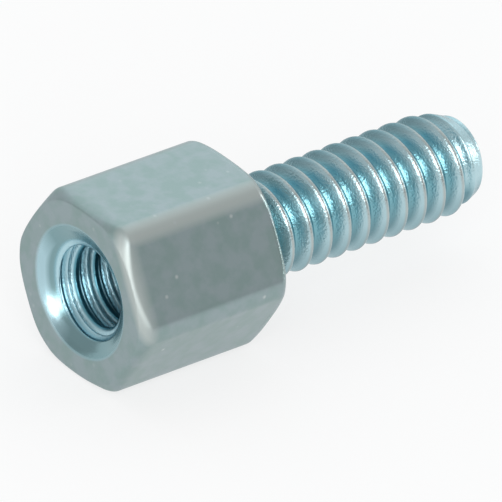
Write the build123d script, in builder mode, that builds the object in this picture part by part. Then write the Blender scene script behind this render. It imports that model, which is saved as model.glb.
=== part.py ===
import os
from math import ceil, radians, sqrt, tan

from build123d import *

# A jackscrew turned from one hexagon bar: a head with a tapped socket in its end face,
# and a threaded stud behind it.
# It lies on a flat of its head. +X runs along its axis to the stud's tip, and +Z is up.
# The origin is on the axis, in the plane of the shoulder that seats on a panel.

# Hexagon head
across_flats = 4.97
head_length = 4.80
hex_corner_radius = 0.62
end_edge_radius = 0.10
front_corner_trim = 0.43
back_corner_trim = 0.29
chamfer_angle = 35

# Threaded stud
stud_length = 7.87
major_diameter = 2.845
pitch = 0.635
thread_angle = 60
crest_flat_share = 1 / 8
root_flat_share = 1 / 6
groove_angle_at_shoulder = 45
helix_start_angle = 90
tip_drop = 0.33
tip_length = 0.87
tip_edge_radius = 0.12

# Thread relief between the shoulder and the first full thread.
# It runs a little into the shoulder, so that the seat's inner edge clears the thread.
relief_width = 0.40
relief_undercut = 0.03
relief_exit_angle = 45
seat_clearance = 0.05
seat_undercut_angle = 8

# Tapped socket, bored to the tap drill's diameter
tap_drill_diameter = 2.27
socket_floor = 0.90
drill_point_angle = 118
countersink_diameter = 3.72
countersink_angle = 120

# How far a cutting shape runs past the surface that it cuts
overrun = 0.05

# Head places: the hexagon's reach at its corners, and the end faces inside its chamfers
flat_distance = across_flats / 2
corner_reach = across_flats / sqrt(3)
front_face = -head_length
front_face_radius = corner_reach - front_corner_trim
back_face_radius = corner_reach - back_corner_trim
front_chamfer_end = front_face + front_corner_trim * tan(radians(chamfer_angle))
back_chamfer_start = -back_corner_trim * tan(radians(chamfer_angle))

# Thread groove section
major_radius = major_diameter / 2
flank_slope = tan(radians(thread_angle / 2))
mouth_half_width = pitch * (1 - crest_flat_share) / 2
root_half_width = pitch * root_flat_share / 2
groove_depth = (mouth_half_width - root_half_width) / flank_slope
top_half_width = mouth_half_width + overrun * flank_slope

# Stud places
relief_depth = groove_depth + relief_undercut
relief_radius = major_radius - relief_depth
relief_end = relief_width + relief_depth / tan(radians(relief_exit_angle))
seat_inner_radius = major_radius + seat_clearance
seat_undercut_depth = (seat_inner_radius - relief_radius) * tan(radians(seat_undercut_angle))
stud_root = -seat_undercut_depth - overrun
tip_radius = major_radius - tip_drop
tip_start = stud_length - tip_length

# Thread turns: they start in the relief and run off the tip
groove_start = relief_end - top_half_width - overrun
groove_turns = ceil((stud_length + top_half_width - groove_start) / pitch)
groove_start_angle = groove_angle_at_shoulder + 360 * groove_start / pitch

# Socket places
tap_radius = tap_drill_diameter / 2
countersink_radius = countersink_diameter / 2
countersink_end = front_face + (countersink_radius - tap_radius) / tan(radians(countersink_angle / 2))
tap_drill_end = -socket_floor
drill_point_end = tap_drill_end + tap_radius / tan(radians(drill_point_angle / 2))

os.makedirs("parts", exist_ok=True)

# Cutting shape for one turn of the thread, on a right-hand helix that starts above the axis
with BuildPart() as thread_cutter:
    with BuildLine() as turn_path:
        Helix(pitch, pitch, major_radius, center=(groove_start, 0, 0), direction=(1, 0, 0))
    turn_start = turn_path.line @ 0
    with BuildSketch(Plane(origin=turn_start, x_dir=(1, 0, 0), z_dir=(0, -1, 0))):
        with BuildLine():
            Polyline(
                (-root_half_width, -groove_depth),
                (root_half_width, -groove_depth),
                (top_half_width, overrun),
                (-top_half_width, overrun),
                close=True,
            )
        make_face()
    sweep(path=turn_path.line, is_frenet=True)

with BuildPart() as threaded_stud:
    # Blank: relief, full diameter, and a tapered tip with a rounded edge
    with BuildSketch(Plane.XZ) as stud_profile:
        with BuildLine():
            Polyline(
                (stud_root, 0),
                (stud_root, relief_radius),
                (relief_width, relief_radius),
                (relief_end, major_radius),
                (tip_start, major_radius),
                (stud_length, tip_radius),
                (stud_length, 0),
                close=True,
            )
        make_face()
        tip_corner = stud_profile.vertices().group_by(Axis.X)[-1].sort_by(Axis.Z)[-1]
        fillet(tip_corner, tip_edge_radius)
    revolve(axis=Axis.X)

    # Thread: each turn is rotated from above the axis to its place
    with Locations([(turn * pitch, 0, 0) for turn in range(groove_turns)]):
        add(thread_cutter.part, rotation=(groove_start_angle - helix_start_angle, 0, 0), mode=Mode.SUBTRACT)

with BuildPart() as jackscrew:
    # Hexagon bar with flats above and below, its long corners and end edges rounded
    with BuildSketch(Plane.YZ.offset(front_face)) as hexagon:
        RegularPolygon(flat_distance, side_count=6, major_radius=False)
        fillet(hexagon.vertices(), hex_corner_radius)
    extrude(amount=head_length)
    end_faces = jackscrew.faces().filter_by(Axis.X)
    fillet(end_faces.edges(), end_edge_radius)

    # Both ends are turned to a cone, which trims the corners
    with BuildSketch(Plane.XZ):
        with BuildLine():
            Polyline(
                (front_face, 0),
                (front_face, front_face_radius),
                (front_chamfer_end, corner_reach),
                (back_chamfer_start, corner_reach),
                (0, back_face_radius),
                (0, 0),
                close=True,
            )
        make_face()
    revolve(axis=Axis.X, mode=Mode.INTERSECT)

    # Undercut in the shoulder, around the stud
    with BuildSketch(Plane.XZ):
        with BuildLine():
            Polyline(
                (0, 0),
                (0, seat_inner_radius),
                (-seat_undercut_depth, relief_radius),
                (-seat_undercut_depth, 0),
                close=True,
            )
        make_face()
    revolve(axis=Axis.X, mode=Mode.SUBTRACT)

    add(threaded_stud.part)

    # Socket: countersink, tap drill bore and drill point
    with BuildSketch(Plane.XZ):
        with BuildLine():
            Polyline(
                (front_face, 0),
                (front_face, countersink_radius),
                (countersink_end, tap_radius),
                (tap_drill_end, tap_radius),
                (drill_point_end, 0),
                close=True,
            )
        make_face()
    revolve(axis=Axis.X, mode=Mode.SUBTRACT)
jackscrew.part.label = "jackscrew"
export_step(jackscrew.part, "parts/jackscrew.step")
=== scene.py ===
import math

import bpy
from mathutils import Matrix, Vector


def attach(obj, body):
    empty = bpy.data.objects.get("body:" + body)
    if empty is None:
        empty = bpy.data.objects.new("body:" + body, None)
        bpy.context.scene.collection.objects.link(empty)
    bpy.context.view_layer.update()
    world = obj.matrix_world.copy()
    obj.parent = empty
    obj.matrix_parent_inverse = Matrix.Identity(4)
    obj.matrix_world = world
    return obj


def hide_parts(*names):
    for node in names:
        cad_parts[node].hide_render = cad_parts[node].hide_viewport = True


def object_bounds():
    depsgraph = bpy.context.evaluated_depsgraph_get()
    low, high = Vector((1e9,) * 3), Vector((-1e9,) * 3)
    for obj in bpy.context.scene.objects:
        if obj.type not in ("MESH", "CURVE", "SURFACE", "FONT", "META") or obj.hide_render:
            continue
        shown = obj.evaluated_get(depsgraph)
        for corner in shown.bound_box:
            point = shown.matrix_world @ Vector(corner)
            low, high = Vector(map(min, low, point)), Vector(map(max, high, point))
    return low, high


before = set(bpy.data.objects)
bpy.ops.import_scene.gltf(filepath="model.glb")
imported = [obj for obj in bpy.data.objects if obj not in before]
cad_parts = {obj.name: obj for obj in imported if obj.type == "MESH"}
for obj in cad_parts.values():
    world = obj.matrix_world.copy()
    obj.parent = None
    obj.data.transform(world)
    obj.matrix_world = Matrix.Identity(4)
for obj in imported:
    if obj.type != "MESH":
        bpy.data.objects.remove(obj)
cadLow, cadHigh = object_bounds()

mm = 0.001
weld = 0.0004 * mm  # points closer than this are one point


# Small helpers

def softMin(a, b, blend):
    # the lower of two, with the corner between them rounded over
    h = min(max(0.5 + 0.5 * (b - a) / blend, 0.0), 1.0)
    return b + (a - b) * h - blend * h * (1.0 - h)


def softMax(a, b, blend):
    return -softMin(-a, -b, blend)


def roundOver(depth, long, drop):
    # how far a rounded edge has drawn in at this depth below the face: a quarter ellipse, long by drop
    left = max(long - depth, 0.0) / long
    return drop * (1.0 - math.sqrt(max(1.0 - left * left, 0.0)))


def clearSelection():
    if bpy.context.mode != "OBJECT":
        bpy.ops.object.mode_set(mode="OBJECT")
    bpy.ops.object.select_all(action="DESELECT")
    bpy.context.tool_settings.mesh_select_mode = (True, False, False)


def pickEdges(piece, wanted):
    # only the edges that pass the test are selected, in edit mode
    bpy.ops.object.mode_set(mode="EDIT")
    bpy.context.tool_settings.mesh_select_mode = (False, True, False)
    bpy.ops.mesh.select_all(action="DESELECT")
    bpy.ops.object.mode_set(mode="OBJECT")
    points = piece.data.vertices
    for edge in piece.data.edges:
        a, b = edge.vertices
        edge.select = wanted(edge, points[a].co, points[b].co)
    bpy.ops.object.mode_set(mode="EDIT")


def drawLine(name, points):
    # one vertex, extruded from point to point
    clearSelection()
    bpy.ops.mesh.primitive_plane_add(size=mm)
    line = bpy.context.object
    line.name = line.data.name = name
    bpy.ops.object.mode_set(mode="EDIT")
    bpy.ops.mesh.merge(type="CENTER")
    bpy.ops.transform.translate(value=points[0])
    for here, there in zip(points, points[1:]):
        bpy.ops.mesh.extrude_region_move(TRANSFORM_OT_translate={"value": Vector(there) - Vector(here)})
    bpy.ops.object.mode_set(mode="OBJECT")
    return line


def stepRing(x, toX, scale):
    # the selected ring is extruded along the axis and drawn in or out around it
    bpy.ops.mesh.extrude_region_move(TRANSFORM_OT_translate={"value": (toX - x, 0, 0)})
    bpy.ops.transform.resize(value=(1, scale, scale), center_override=(0, 0, 0))


def turnRing(stations):
    # stations are (x, radius) in mm; the first is where the selected ring is now
    for (x, r), (toX, toR) in zip(stations, stations[1:]):
        stepRing(x * mm, toX * mm, toR / r)


def cutRing(piece, x, keepAbove):
    # cut square to the axis at x, drop one side and leave the new ring selected
    clearSelection()
    bpy.context.view_layer.objects.active = piece
    piece.select_set(True)
    bpy.ops.object.mode_set(mode="EDIT")
    bpy.ops.mesh.select_all(action="SELECT")
    bpy.ops.mesh.bisect(plane_co=(x * mm, 0, 0), plane_no=(1, 0, 0), clear_inner=keepAbove,
                        clear_outer=not keepAbove, threshold=weld)


def faceOutwards(piece):
    # an open shell has its faces turned one way, so that it bridges untwisted
    clearSelection()
    bpy.context.view_layer.objects.active = piece
    bpy.ops.object.mode_set(mode="EDIT")
    bpy.ops.mesh.select_all(action="SELECT")
    bpy.ops.mesh.normals_make_consistent(inside=False)
    bpy.ops.object.mode_set(mode="OBJECT")


def sweepThread(name, profile, turns, steps, pitch):
    # one pitch of the profile, screwed round the axis and welded turn to turn
    piece = drawLine(name, [(x * mm, r * mm, 0) for x, r in profile])
    screw = piece.modifiers.new("thread", "SCREW")
    screw.axis = "X"
    screw.steps = screw.render_steps = steps
    screw.iterations = turns
    screw.screw_offset = pitch * mm
    bpy.ops.object.modifier_apply(modifier=screw.name)
    bpy.ops.object.mode_set(mode="EDIT")
    bpy.ops.mesh.select_all(action="SELECT")
    bpy.ops.mesh.remove_doubles(threshold=weld)
    bpy.ops.object.mode_set(mode="OBJECT")
    return piece


def onePitch(middle, pitch, points, radiusAt):
    # a thread's profile over one pitch, as (x, radius), with its middle in the middle
    offsets = [pitch * (i / points - 0.5) for i in range(points + 1)]
    return [(middle + offset, radiusAt(offset)) for offset in offsets]


def turnTo(piece, radiusAt):
    # every point is moved square to the axis, to the radius that its place along it calls for
    for v in piece.data.vertices:
        r = math.hypot(v.co.y, v.co.z)
        scale = radiusAt(v.co.x / mm, r / mm) * mm / r
        v.co.y *= scale
        v.co.z *= scale


# Hexagon head, without its end faces

headShape = dict(
    acrossFlats=4.97,
    length=4.80,
    cornerRadius=0.62,
    cornerSegments=12,
    flatCuts=20,
    frontLong=0.34,  # the front edge is eased off, along the flats and in from them
    frontDrop=0.04,
    frontPower=1.5,  # how late the easing sets in
    frontRound=0.025,
    backLong=0.10,
    backDrop=0.06,
    frontTrim=0.38,
    backTrim=0.29,
    chamferAngle=35,
    turnedEdge=0.20,  # how softly the turned cone meets the flats
    rimShare=0.985,  # a ring on each end face, just inside its edge, keeps the face's shading flat
    endStep=0.014,
    endReach=0.46,
    middleCuts=8,
)


def headLimit(x):
    # the turned envelope that trims the hexagon's corners at both ends
    s = headShape
    reach = s["acrossFlats"] / math.sqrt(3)
    slope = 1 / math.tan(math.radians(s["chamferAngle"]))
    front = reach - s["frontTrim"] + (x + s["length"]) * slope
    back = reach - s["backTrim"] - x * slope
    return min(front, back)


def makeHead():
    s = headShape
    flat = s["acrossFlats"] / 2
    reach = s["acrossFlats"] / math.sqrt(3)
    front = -s["length"]
    clearSelection()
    bpy.ops.mesh.primitive_circle_add(vertices=6, radius=reach * mm, fill_type="NGON",
                                      location=(front * mm, 0, 0), rotation=(0, math.pi / 2, 0))
    head = bpy.context.object
    head.name = head.data.name = "turnedJackscrew"
    bpy.ops.object.transform_apply(location=True, rotation=True, scale=True)
    bpy.ops.object.mode_set(mode="EDIT")
    bpy.ops.mesh.select_all(action="SELECT")
    halfTurn = math.radians(30)  # half the turn from one flat to the next
    bpy.ops.mesh.bevel(offset_type="OFFSET", offset=s["cornerRadius"] * math.tan(halfTurn) * mm,
                       segments=s["cornerSegments"], profile=0.5, affect="VERTICES")
    bpy.ops.mesh.select_all(action="SELECT")
    bpy.ops.mesh.delete(type="ONLY_FACE")
    longEdge = flat / 2 * mm  # only the six flats are longer
    pickEdges(head, lambda edge, a, b: (a - b).length > longEdge)
    bpy.ops.mesh.subdivide(number_cuts=s["flatCuts"])
    bpy.ops.mesh.select_all(action="SELECT")

    # extruded through its stations, close together where the ends are rounded and turned
    endSteps = round(s["endReach"] / s["endStep"])
    stations = [front + i * s["endStep"] for i in range(endSteps + 1)]
    gap = s["length"] - 2 * s["endReach"]
    stations += [front + s["endReach"] + gap * i / s["middleCuts"] for i in range(1, s["middleCuts"])]
    stations += [-s["endStep"] * i for i in range(endSteps, -1, -1)]
    for x, toX in zip(stations, stations[1:]):
        bpy.ops.mesh.extrude_region_move(TRANSFORM_OT_translate={"value": ((toX - x) * mm, 0, 0)})
    bpy.ops.object.mode_set(mode="OBJECT")

    # rounded end edges and turned corners
    for v in head.data.vertices:
        x = v.co.x / mm
        eased = s["frontDrop"] * max(1 - (x - front) / s["frontLong"], 0) ** s["frontPower"]
        drawnIn = eased + roundOver(x - front, s["frontRound"], s["frontRound"]) \
            + roundOver(-x, s["backLong"], s["backDrop"])
        y, z = v.co.y / mm, v.co.z / mm
        shrink = 1 - drawnIn / flat
        r = math.hypot(y, z) * shrink
        scale = softMin(r, headLimit(x), s["turnedEdge"]) / r * shrink
        v.co.y, v.co.z = y * scale * mm, z * scale * mm

    # a ring inside each end's edge
    for x in (front, 0):
        pickEdges(head, lambda edge, a, b: max(abs(a.x - x * mm), abs(b.x - x * mm)) < weld)
        stepRing(0, 0, s["rimShare"])
    bpy.ops.object.mode_set(mode="OBJECT")
    print("head shell:", len(head.data.polygons), "faces")
    return head


# Threaded stud

studShape = dict(
    length=7.87,
    majorRadius=1.4225,
    pitch=0.635,
    flankAngle=30,  # each flank, from square to the axis
    grooveAngle=45,  # the groove's place round the axis, in the plane of the shoulder
    crestShare=1 / 5,
    rootShare=1 / 6,
    crestRound=0.125,
    rootRound=0.24,
    steps=96,
    profilePoints=32,
    spareTurns=1,
    reliefRadius=0.99,
    reliefWidth=0.40,
    reliefEnd=0.82,
    reliefCut=0.20,
    tipRadius=1.09,
    tipStart=7.00,
    tipEdge=0.12,
    tipCut=0.004,  # the thread is cut off this far short of the end face
    tipRingShares=(0.985, 0.93, 0.4),  # rings on the end face, of the radius at the cut
    limitRound=0.07,
    seatRadius=1.4725,
    seatUndercut=0.066,
    undercutWallShare=0.7,  # how deep the relief's wall runs, before it rounds into the undercut
    undercutFootShare=1.02,  # where it has rounded over, of the relief's radius
    seatEdgeWidth=0.03,  # the undercut's outer edge
    seatEdgeDepth=0.004,
)


def studLimit(x):
    # relief, full thread, tapered tip with a rounded edge
    s = studShape
    rise = s["reliefRadius"] + (s["majorRadius"] - s["reliefRadius"]) \
        * max(x - s["reliefWidth"], 0) / (s["reliefEnd"] - s["reliefWidth"])
    full = s["majorRadius"] + s["limitRound"]
    taper = s["majorRadius"] - (s["majorRadius"] - s["tipRadius"]) \
        * (x - s["tipStart"]) / (s["length"] - s["tipStart"])
    taper -= roundOver(s["length"] - x, s["tipEdge"], s["tipEdge"])
    return min(rise, full, softMin(full, taper, s["limitRound"]))


def studProfile(x):
    # radius at a distance x from the middle of the groove
    s = studShape
    slope = 1 / math.tan(math.radians(s["flankAngle"]))
    crest = s["majorRadius"]
    half = s["pitch"] * (1 - s["crestShare"]) / 2
    root = crest - (half - s["pitch"] * s["rootShare"] / 2) * slope
    flank = crest - (half - abs(x)) * slope
    return softMin(softMax(flank, root, s["rootRound"]), crest, s["crestRound"])


def studRadius(x, r):
    return softMin(r, studLimit(x), studShape["limitRound"])


def makeStud():
    s = studShape
    pitch, end = s["pitch"], s["length"]
    middle = -s["grooveAngle"] / 360 * pitch - pitch
    turns = math.ceil((end - middle) / pitch) + s["spareTurns"]
    profile = onePitch(middle, pitch, s["profilePoints"], studProfile)
    stud = sweepThread("studThread", profile, turns, s["steps"], pitch)
    turnTo(stud, studRadius)

    # tip: the last ring is turned in to the end face
    cutRing(stud, end - s["tipCut"], keepAbove=False)
    turnRing([(end - s["tipCut"], 1)] + [(end, share) for share in s["tipRingShares"]])
    bpy.ops.mesh.edge_face_add()

    # shoulder: the relief runs into the undercut, and out to the seat's inner edge
    cutRing(stud, s["reliefCut"], keepAbove=True)
    r, seat, deep, edge = s["reliefRadius"], s["seatRadius"], s["seatUndercut"], s["seatEdgeWidth"]
    turnRing([(s["reliefCut"], r), (0, r), (-deep * s["undercutWallShare"], r),
              (-deep, r * s["undercutFootShare"]), (-s["seatEdgeDepth"], seat - edge),
              (0, seat), (0, seat + edge)])
    bpy.ops.object.mode_set(mode="OBJECT")
    print("stud thread:", len(stud.data.polygons), "faces")
    return stud


# Tapped socket

socketShape = dict(
    mouthX=-4.80,
    mouthRadius=1.82,
    coneAngle=60,
    minorRadius=1.135,
    majorRadius=1.41,
    pitch=0.635,
    ridgeX=-3.31,  # a ridge's middle, on the +Y side
    crestHalf=0.06,
    crestRound=0.02,
    flankAngle=40,  # flatter than the standard 30, so that the flanks catch light as in the photograph
    scorePlace=0.10,  # the tap has scored a fine line along each flank
    scoreDepth=0.05,
    scoreWidth=0.022,
    rootRound=0.05,
    coneRound=0.11,
    steps=96,
    profilePoints=48,
    spareTurns=2,
    cutX=-4.70,
    mouthEdge=0.09,
    mouthEdgeShares=((0.45, -0.5), (0.12, 0.25), (0, 1), (0, 1.5)),  # into the hole, and out from the mouth
    threadEnd=-1.70,
    fadeLength=0.55,
    floorX=-0.90,
    pointAngle=59,
    pointShares=(0.3, 0.6, 0.85, 0.98),
)


def socketProfile(x):
    # radius at a distance x from the middle of a ridge
    s = socketShape
    down = abs(x) - s["crestHalf"]
    flank = s["minorRadius"] + softMax(down, 0, s["crestRound"]) / math.tan(math.radians(s["flankAngle"]))
    score = s["scoreDepth"] * math.exp(-((down - s["scorePlace"]) / s["scoreWidth"]) ** 2)
    return softMin(flank + score, s["majorRadius"], s["rootRound"])


def coneRadius(x):
    s = socketShape
    return s["mouthRadius"] - (x - s["mouthX"]) * math.tan(math.radians(s["coneAngle"]))


def socketRadius(x, r):
    # the thread fades out towards the floor, and the countersink cuts it at the mouth
    s = socketShape
    fade = min(max((s["threadEnd"] - x) / s["fadeLength"], 0.0), 1.0)
    r = s["minorRadius"] + (r - s["minorRadius"]) * fade
    return softMax(r, coneRadius(x), s["coneRound"])


def makeSocket():
    s = socketShape
    pitch = s["pitch"]
    middle = s["ridgeX"]
    while middle > s["mouthX"] - pitch:
        middle -= pitch
    turns = math.ceil((s["floorX"] - middle) / pitch) + s["spareTurns"]
    profile = onePitch(middle, pitch, s["profilePoints"], socketProfile)
    socket = sweepThread("tappedSocket", profile, turns, s["steps"], pitch)
    turnTo(socket, socketRadius)

    # floor: the drill point closes it
    cutRing(socket, s["floorX"], keepAbove=False)
    r = s["minorRadius"]
    pointDepth = r / math.tan(math.radians(s["pointAngle"]))
    turnRing([(s["floorX"], r)]
             + [(s["floorX"] + pointDepth * share, r * (1 - share)) for share in s["pointShares"]])
    bpy.ops.mesh.merge(type="CENTER")

    # mouth: the cone is turned out to the end face, with its edge broken
    cutRing(socket, s["cutX"], keepAbove=True)
    mouthX, mouthR, edge = s["mouthX"], s["mouthRadius"], s["mouthEdge"]
    turnRing([(x, coneRadius(x)) for x in (s["cutX"], mouthX + edge)]
             + [(mouthX + edge * inShare, mouthR + edge * outShare)
                for inShare, outShare in s["mouthEdgeShares"]])
    bpy.ops.object.mode_set(mode="OBJECT")
    print("tapped socket:", len(socket.data.polygons), "faces")
    return socket


# The whole piece

wholeShape = dict(
    smoothAngle=40,  # edges sharper than this stay sharp
)


def edgeUses(piece):
    # how many faces share each edge
    uses = {}
    for face in piece.data.polygons:
        for key in face.edge_keys:
            uses[key] = uses.get(key, 0) + 1
    return uses


def makeJackscrew():
    head, stud, socket = makeHead(), makeStud(), makeSocket()
    for piece in (head, stud, socket):
        faceOutwards(piece)
    clearSelection()
    for piece in (stud, socket, head):
        piece.select_set(True)
    bpy.context.view_layer.objects.active = head
    bpy.ops.object.join()

    # the two end faces are bridged between their rings
    for x in (-headShape["length"] * mm, 0):
        uses = edgeUses(head)
        pickEdges(head, lambda edge, a, b: uses.get(edge.key, 0) == 1
                  and max(abs(a.x - x), abs(b.x - x)) < 2 * weld)
        bpy.ops.mesh.bridge_edge_loops()
        bpy.ops.object.mode_set(mode="OBJECT")
    bpy.ops.object.mode_set(mode="EDIT")
    bpy.ops.mesh.select_all(action="SELECT")
    bpy.ops.mesh.remove_doubles(threshold=weld)
    bpy.ops.mesh.normals_make_consistent(inside=False)
    bpy.ops.object.mode_set(mode="OBJECT")
    bpy.ops.object.shade_smooth_by_angle(angle=math.radians(wholeShape["smoothAngle"]))
    openEdges = sum(1 for n in edgeUses(head).values() if n != 2)
    triangles = sum(len(f.vertices) - 2 for f in head.data.polygons)
    print("jackscrew:", triangles, "triangles,", openEdges, "open edges")
    return head


jackscrew = makeJackscrew()


# Materials

def linear(hexColour):
    parts = [int(hexColour[i:i + 2], 16) / 255 for i in (1, 3, 5)]
    return tuple(c / 12.92 if c <= 0.04045 else ((c + 0.055) / 1.055) ** 2.4 for c in parts) + (1.0,)


def addNode(tree, kind, inputs=None, **settings):
    # an input is a plain value, or another node's output to link from
    node = tree.nodes.new(kind)
    for name, value in settings.items():
        setattr(node, name, value)
    for key, value in (inputs or {}).items():
        if isinstance(value, bpy.types.NodeSocket):
            tree.links.new(value, node.inputs[key])
        else:
            node.inputs[key].default_value = value
    return node


zincPlate = dict(
    tints=dict(
        satinGreen="#8EA2A1",  # flats and end faces, in patches of two tints
        satinBlue="#98A7AA",
        paintedEdgeHighlight="#B4BDBB",  # painted highlight on the corner and front edge that look paler in the photograph
        speck="#B9C2C2",
        groove="#82B6C1",  # the stud's thread, bluest in its grooves
        paintedBlueBand="#64A2B4",  # painted shade: a darker, bluer band high in the photograph's view
        slope="#B1CED5",
        # the tip tint is painted light: paler on the upper half of the stud's tip
        tip="#B6D5DC",
        crest="#B2BBBA",  # the thread's crests, which look less blue
        shade="#6F939C",  # painted shade: the stud's outlines in the photograph's view, and its low grooves
        cone="#ACCBD4",  # the countersink, bluest at the side where it looks so in the photograph
        # painted shade on the countersink, away from its lit side and deeper in
        paintedConeShade="#80A0A5",
        bore="#86B4C2",  # the socket's thread
        ridge="#B4D6DF",
        boreCrest="#5C93A2",
    ),
    satinRoughness=0.34,
    # patterns: size and height in mm; along is below 1 where a pattern is drawn out along the axis
    # the grain, and the torn metal in the threads, are coarser than the real ones, so that they show
    patterns=dict(
        patches=dict(size=0.45, along=1.0, detail=3.0),
        grain=dict(size=0.10, along=1.0, detail=2.0, height=0.0010),
        drawnLines=dict(size=0.16, along=0.12, detail=2.0, height=0.0006),
        tornMetal=dict(size=0.06, along=1.0, detail=2.0, height=0.013),
    ),
    speckSpacing=0.42,
    # directions square to the axis that some tints follow, matched to the photograph's one view
    # lowInPhoto is straight down in that view; the stud's band and outlines along it are painted shade
    sides=dict(
        coneLitSide=(0, 0.94, -0.34),
        highlightCorner=(0, -0.574, 0.819),
        highlightEdge=(0, -0.866, 0.5),
        lowInPhoto=(0, -0.629, -0.777),
    ),
    # zones run from 0 to 1 between two values of a measure, most of them in mm
    zones=dict(
        onHead=("x", -0.1, -0.2),
        onStud=("x", 0.02, 0.2),
        frontEnd=("x", -4.3, -4.7),
        turnedEnd=("x", -0.22, -0.08),
        tipEnd=("x", 7.0, 7.2),
        behindCone=("x", -4.56, -4.50),
        upperHalf=("z", -0.4, 0.1),
        rimBand=("radius", 2.28, 2.40),
        mouthBand=("radius", 1.87, 1.78),
        coneInner=("radius", 1.60, 1.47),
        boreBand=("radius", 1.60, 1.50),
        ridgeBand=("radius", 1.38, 1.30),
        boreCrestBand=("radius", 1.21, 1.16),
        crestBand=("radius", 1.39, 1.42),
        slopeBand=("radius", 1.18, 1.32),
        # the next two zones place painted shade on the countersink: away from its lit side, and deeper in
        coneShadedSide=("coneLitSide", 1.45, 0.90),
        # the next two zones place the painted highlight on one corner and along the front edge
        cornerHighlight=("highlightCorner", 2.65, 2.75),
        nearEdge=("highlightEdge", 2.10, 2.30),
        # the next five zones place the stud's painted band and painted shade, along lowInPhoto
        topLimb=("lowInPhoto", -0.80, -1.35),
        belowTop=("lowInPhoto", -1.10, -0.80),
        upperSide=("lowInPhoto", -0.25, -0.70),
        lowerSide=("lowInPhoto", 0.45, 1.15),
        underLimb=("lowInPhoto", 0.9, 1.8),
        inPatch=("patches", 0.38, 0.62),
        speckSpot=("speckDistance", 0.17, 0.04),
        speckPick=("speckNumber", 0.55, 0.75),
    ),
    # zones where two others meet, or that take in both
    jointZones=(
        ("onSlope", "MULTIPLY", "onStud", "slopeBand"),
        ("onCrest", "MULTIPLY", "onStud", "crestBand"),
        ("tipPaintedLight", "MULTIPLY", "tipEnd", "upperHalf"),
        ("paintedBandZone", "MULTIPLY", "upperSide", "belowTop"),
        ("upperStud", "MULTIPLY", "onStud", "paintedBandZone"),
        ("lowerStud", "MULTIPLY", "onStud", "lowerSide"),
        ("limbs", "MAXIMUM", "topLimb", "underLimb"),
        ("onLimbs", "MULTIPLY", "limbs", "onStud"),
        ("edgeHighlight", "MULTIPLY", "nearEdge", "frontEnd"),
        ("onEdgeHighlight", "MAXIMUM", "cornerHighlight", "edgeHighlight"),
        ("isSpeck", "MULTIPLY", "speckSpot", "speckPick"),
        ("onSpeck", "MULTIPLY", "isSpeck", "onHead"),
        ("inMouth", "MULTIPLY", "onHead", "mouthBand"),
        ("coneShadeZone", "MAXIMUM", "coneShadedSide", "coneInner"),
        ("shadedMouth", "MULTIPLY", "inMouth", "coneShadeZone"),
        ("inHole", "MULTIPLY", "onHead", "boreBand"),
        ("inBore", "MULTIPLY", "inHole", "behindCone"),
        ("onRidge", "MULTIPLY", "inBore", "ridgeBand"),
        ("onBoreCrest", "MULTIPLY", "inBore", "boreCrestBand"),
        ("backRim", "MULTIPLY", "turnedEnd", "rimBand"),
        ("cutThread", "MAXIMUM", "onStud", "inBore"),
        ("cutMetal", "MAXIMUM", "cutThread", "backRim"),
    ),
    # tints and roughnesses over the satin, in the order in which they are laid on
    tintLayers=(
        ("inPatch", "satinBlue"),
        # the edge highlight, the stud's band, low grooves, outlines and tip, and the duller cone are painted
        # light and shade
        ("onEdgeHighlight", "paintedEdgeHighlight"),
        ("onSpeck", "speck"),
        ("onStud", "groove"),
        ("upperStud", "paintedBlueBand"),
        ("lowerStud", "shade"),
        ("onSlope", "slope"),
        ("tipPaintedLight", "tip"),
        ("onCrest", "crest"),
        ("onLimbs", "shade"),
        ("inMouth", "cone"),
        ("shadedMouth", "paintedConeShade"),
        ("inBore", "bore"),
        ("onRidge", "ridge"),
        ("onBoreCrest", "boreCrest"),
    ),
    roughLayers=(
        ("frontEnd", 0.50),
        ("inMouth", 0.22),
        ("inBore", 0.30),
        ("turnedEnd", 0.23),
    ),
)


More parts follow.
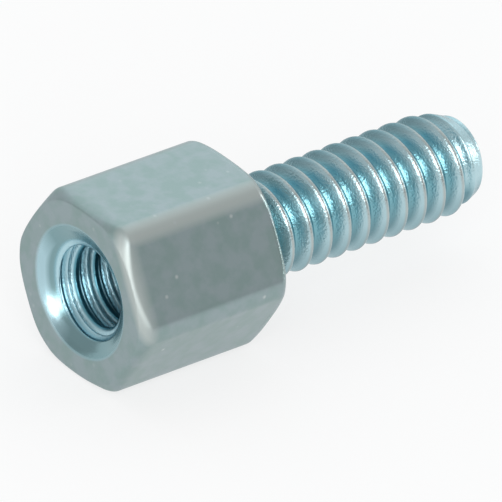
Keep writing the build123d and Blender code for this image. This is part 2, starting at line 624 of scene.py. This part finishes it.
def makeZincPlate():
    # Bright zinc plating with a clear blue passivate: on the drawn hexagon a satin blue-grey, patchy and
    # finely grained, and in the cut threads glossier, bluer and gritty, so that highlights break into glitter
    s = zincPlate
    material = bpy.data.materials.new("zincPlateBluePassivate")
    material.use_nodes = True
    tree = material.node_tree
    tree.nodes.clear()

    # measures: places in mm, and patterns
    metres = addNode(tree, "ShaderNodeTexCoord").outputs["Object"]
    place = addNode(tree, "ShaderNodeVectorMath", {0: metres, "Scale": 1 / mm}, operation="SCALE").outputs[0]
    axes = addNode(tree, "ShaderNodeSeparateXYZ", {0: place}).outputs
    across = addNode(tree, "ShaderNodeCombineXYZ", {"Y": axes["Y"], "Z": axes["Z"]}).outputs[0]
    radius = addNode(tree, "ShaderNodeVectorMath", {0: across}, operation="LENGTH").outputs["Value"]
    measures = dict(x=axes["X"], z=axes["Z"], radius=radius)
    for name, side in s["sides"].items():
        measures[name] = addNode(tree, "ShaderNodeVectorMath", {0: across, 1: side},
                                 operation="DOT_PRODUCT").outputs["Value"]
    for name, pattern in s["patterns"].items():
        stretched = addNode(tree, "ShaderNodeMapping",
                            {"Vector": place, "Scale": (pattern["along"], 1.0, 1.0)}).outputs[0]
        measures[name] = addNode(tree, "ShaderNodeTexNoise",
                                 {"Vector": stretched, "Scale": 1 / pattern["size"],
                                  "Detail": pattern["detail"]}).outputs[0]
    specks = addNode(tree, "ShaderNodeTexVoronoi", {"Vector": place, "Scale": 1 / s["speckSpacing"]}).outputs
    measures["speckDistance"] = specks["Distance"]
    measures["speckNumber"] = addNode(tree, "ShaderNodeSeparateColor", {0: specks["Color"]}).outputs[0]

    zones = {}
    for name, (measure, zero, one) in s["zones"].items():
        zones[name] = addNode(tree, "ShaderNodeMapRange",
                              {"Value": measures[measure], "From Min": zero, "From Max": one}).outputs[0]
    for name, operation, a, b in s["jointZones"]:
        zones[name] = addNode(tree, "ShaderNodeMath", {0: zones[a], 1: zones[b]},
                              operation=operation).outputs[0]

    colour = linear(s["tints"]["satinGreen"])
    for zone, tint in s["tintLayers"]:
        colour = addNode(tree, "ShaderNodeMix", {0: zones[zone], 6: colour, 7: linear(s["tints"][tint])},
                         data_type="RGBA").outputs[2]
    roughness = s["satinRoughness"]
    for zone, level in s["roughLayers"]:
        roughness = addNode(tree, "ShaderNodeMix", {0: zones[zone], 2: roughness, 3: level},
                            data_type="FLOAT").outputs[0]

    # fine relief: satin grain with drawn lines over it on the hexagon, torn metal in the threads
    relief = {}
    for name, under in (("grain", None), ("drawnLines", "grain"), ("tornMetal", None)):
        inputs = {"Height": measures[name], "Distance": s["patterns"][name]["height"] * mm, "Strength": 1.0}
        if under:
            inputs["Normal"] = relief[under]
        relief[name] = addNode(tree, "ShaderNodeBump", inputs).outputs[0]
    normal = addNode(tree, "ShaderNodeMix",
                     {0: zones["cutMetal"], 4: relief["drawnLines"], 5: relief["tornMetal"]},
                     data_type="VECTOR").outputs[1]
    shader = addNode(tree, "ShaderNodeBsdfPrincipled",
                     {"Base Color": colour, "Roughness": roughness, "Normal": normal, "Metallic": 1.0})
    addNode(tree, "ShaderNodeOutputMaterial", {"Surface": shader.outputs[0]})
    print("zinc plate:", len(tree.nodes), "nodes")
    return material


jackscrew.data.materials.clear()
jackscrew.data.materials.append(makeZincPlate())
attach(jackscrew, "root")
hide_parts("jackscrew")


# Floor

floorSheet = dict(
    radius=0.11,
    edgeSides=96,
    colour="#F2F2F2",
    whiteStrength=1.0,
    shadowShare=0.28,  # how much of the card's own shading shows through the white
)


def makeFloor():
    # Matt white card: even and without gloss, so that it shows as plain white with a faint shadow
    s = floorSheet
    clearSelection()
    bpy.ops.mesh.primitive_circle_add(vertices=s["edgeSides"], radius=s["radius"], fill_type="NGON",
                                      location=(0, 0, cadLow.z))
    floor = bpy.context.object
    floor.name = floor.data.name = "floorSheet"
    bpy.ops.object.transform_apply(location=True, rotation=True, scale=True)
    material = bpy.data.materials.new("mattWhiteCard")
    material.use_nodes = True
    tree = material.node_tree
    tree.nodes.clear()
    rays = addNode(tree, "ShaderNodeLightPath").outputs
    shownTo = rays["Is Camera Ray"]
    for kind in ("Is Glossy Ray", "Is Transmission Ray"):
        shownTo = addNode(tree, "ShaderNodeMath", {0: shownTo, 1: rays[kind]}, operation="MAXIMUM").outputs[0]
    card = addNode(tree, "ShaderNodeBsdfDiffuse", {"Color": linear(s["colour"])}).outputs[0]
    white = addNode(tree, "ShaderNodeEmission", {"Strength": s["whiteStrength"]}).outputs[0]
    shown = addNode(tree, "ShaderNodeMixShader", {0: s["shadowShare"], 1: white, 2: card}).outputs[0]
    surface = addNode(tree, "ShaderNodeMixShader", {0: shownTo, 1: card, 2: shown}).outputs[0]
    addNode(tree, "ShaderNodeOutputMaterial", {"Surface": surface})
    floor.data.materials.append(material)
    print("floor sheet:", len(tree.nodes), "nodes")


makeFloor()


# Light

studioLight = dict(
    # brightness of the light tent's wall by height: 0 is level with the floor and 1 straight above
    wall=((0.0, 0.44), (0.3, 0.64), (0.6, 0.60), (1.0, 0.62)),
    # the wall is brighter behind the piece, by this much and fading this fast
    glow=dict(direction=(0.40, 0.72, 0.56), level=0.75, tightness=3.0, colour="#F2FCFF"),
    lamps=dict(
        cameraSoftbox=dict(direction=(-0.52, -0.68, 0.52), distance=0.7, size=0.52, brightness=3.4),
        leftSoftbox=dict(direction=(-0.99, -0.03, 0.065), distance=0.7, size=0.23, brightness=6.0),
        rightSoftbox=dict(direction=(0.92, -0.33, 0.21), distance=0.7, size=0.28, brightness=3.5),
    ),
)


def makeLight():
    s = studioLight
    world = bpy.data.worlds.new("softStudio")
    bpy.context.scene.world = world
    world.use_nodes = True
    tree = world.node_tree
    tree.nodes.clear()
    direction = addNode(tree, "ShaderNodeTexCoord").outputs["Generated"]
    height = addNode(tree, "ShaderNodeSeparateXYZ", {0: direction}).outputs["Z"]
    wall = addNode(tree, "ShaderNodeValToRGB", {0: height})
    stops = wall.color_ramp.elements
    stops.remove(stops[1])
    for i, (position, level) in enumerate(s["wall"]):
        stop = stops[0] if i == 0 else stops.new(position)
        stop.position = position
        stop.color = (level, level, level, 1)
    evenLight = addNode(tree, "ShaderNodeBackground", {"Color": wall.outputs[0]}).outputs[0]

    glow = s["glow"]
    toGlow = Vector(glow["direction"]).normalized()
    facing = addNode(tree, "ShaderNodeVectorMath", {0: direction, 1: toGlow},
                     operation="DOT_PRODUCT").outputs["Value"]
    for operation, number in (("MAXIMUM", 0.0), ("POWER", glow["tightness"]), ("MULTIPLY", glow["level"])):
        facing = addNode(tree, "ShaderNodeMath", {0: facing, 1: number}, operation=operation).outputs[0]
    glowLight = addNode(tree, "ShaderNodeBackground",
                        {"Color": linear(glow["colour"]), "Strength": facing}).outputs[0]
    light = addNode(tree, "ShaderNodeAddShader", {0: evenLight, 1: glowLight}).outputs[0]
    addNode(tree, "ShaderNodeOutputWorld", {"Surface": light})

    for name, box in s["lamps"].items():
        clearSelection()
        toLamp = Vector(box["direction"]).normalized()
        bpy.ops.object.light_add(type="AREA", location=toLamp * box["distance"])
        lamp = bpy.context.object
        lamp.name = lamp.data.name = name
        lamp.data.shape = "DISK"
        lamp.data.size = box["size"]
        # a disk lamp's brightness is its power over pi times its area
        lamp.data.energy = box["brightness"] * math.pi * math.pi * (box["size"] / 2) ** 2
        lamp.rotation_euler = toLamp.to_track_quat("Z", "Y").to_euler()
    print("studio light:", len(s["lamps"]), "softboxes")


makeLight()


# Camera, placed by where the socket's mouth and the axis lie in the photograph

photoCamera = dict(
    imageSize=502,
    scale=38.69,  # pixels per mm at the end face
    mouth=(79.1, 292.6),  # the end face's centre, in pixels
    tiltFromView=56.04,
    axisSlope=19.93,
    aboveLevel=39.0,  # how far above level the view comes from, round the piece's axis
    distance=437.0,
    sensorWidth=36,
    nearest=0.01,  # metres
    farthest=20,
)


def makeCamera():
    s = photoCamera
    tilt, slope = math.radians(s["tiltFromView"]), math.radians(s["axisSlope"])
    turn = math.radians(s["aboveLevel"])
    along = Vector((1, 0, 0))
    across = Vector((0, -math.cos(turn), math.sin(turn)))
    down = Vector((0, -math.sin(turn), -math.cos(turn)))
    inAxis = along * math.sin(tilt) + across * math.cos(tilt)
    into = along * math.cos(tilt) - across * math.sin(tilt)
    right = inAxis * math.cos(slope) + down * math.sin(slope)
    below = down * math.cos(slope) - inAxis * math.sin(slope)
    half = s["imageSize"] / 2
    mouth = Vector((-headShape["length"], 0, 0))
    place = mouth - right * (s["mouth"][0] - half) / s["scale"] - below * (s["mouth"][1] - half) / s["scale"]
    place -= into * s["distance"]
    matrix = Matrix((right, -below, -into)).transposed().to_4x4()
    matrix.translation = place * mm
    clearSelection()
    bpy.ops.object.camera_add()
    camera = bpy.context.object
    camera.name = "photoCamera"
    camera.matrix_world = matrix
    camera.data.sensor_width = s["sensorWidth"]
    camera.data.lens = s["sensorWidth"] * s["scale"] * s["distance"] / s["imageSize"]
    camera.data.clip_start = s["nearest"]
    camera.data.clip_end = s["farthest"]
    bpy.context.scene.camera = camera
    print("camera:", round(camera.data.lens), "mm lens")


makeCamera()

bpy.context.scene.view_settings.view_transform = "Standard"
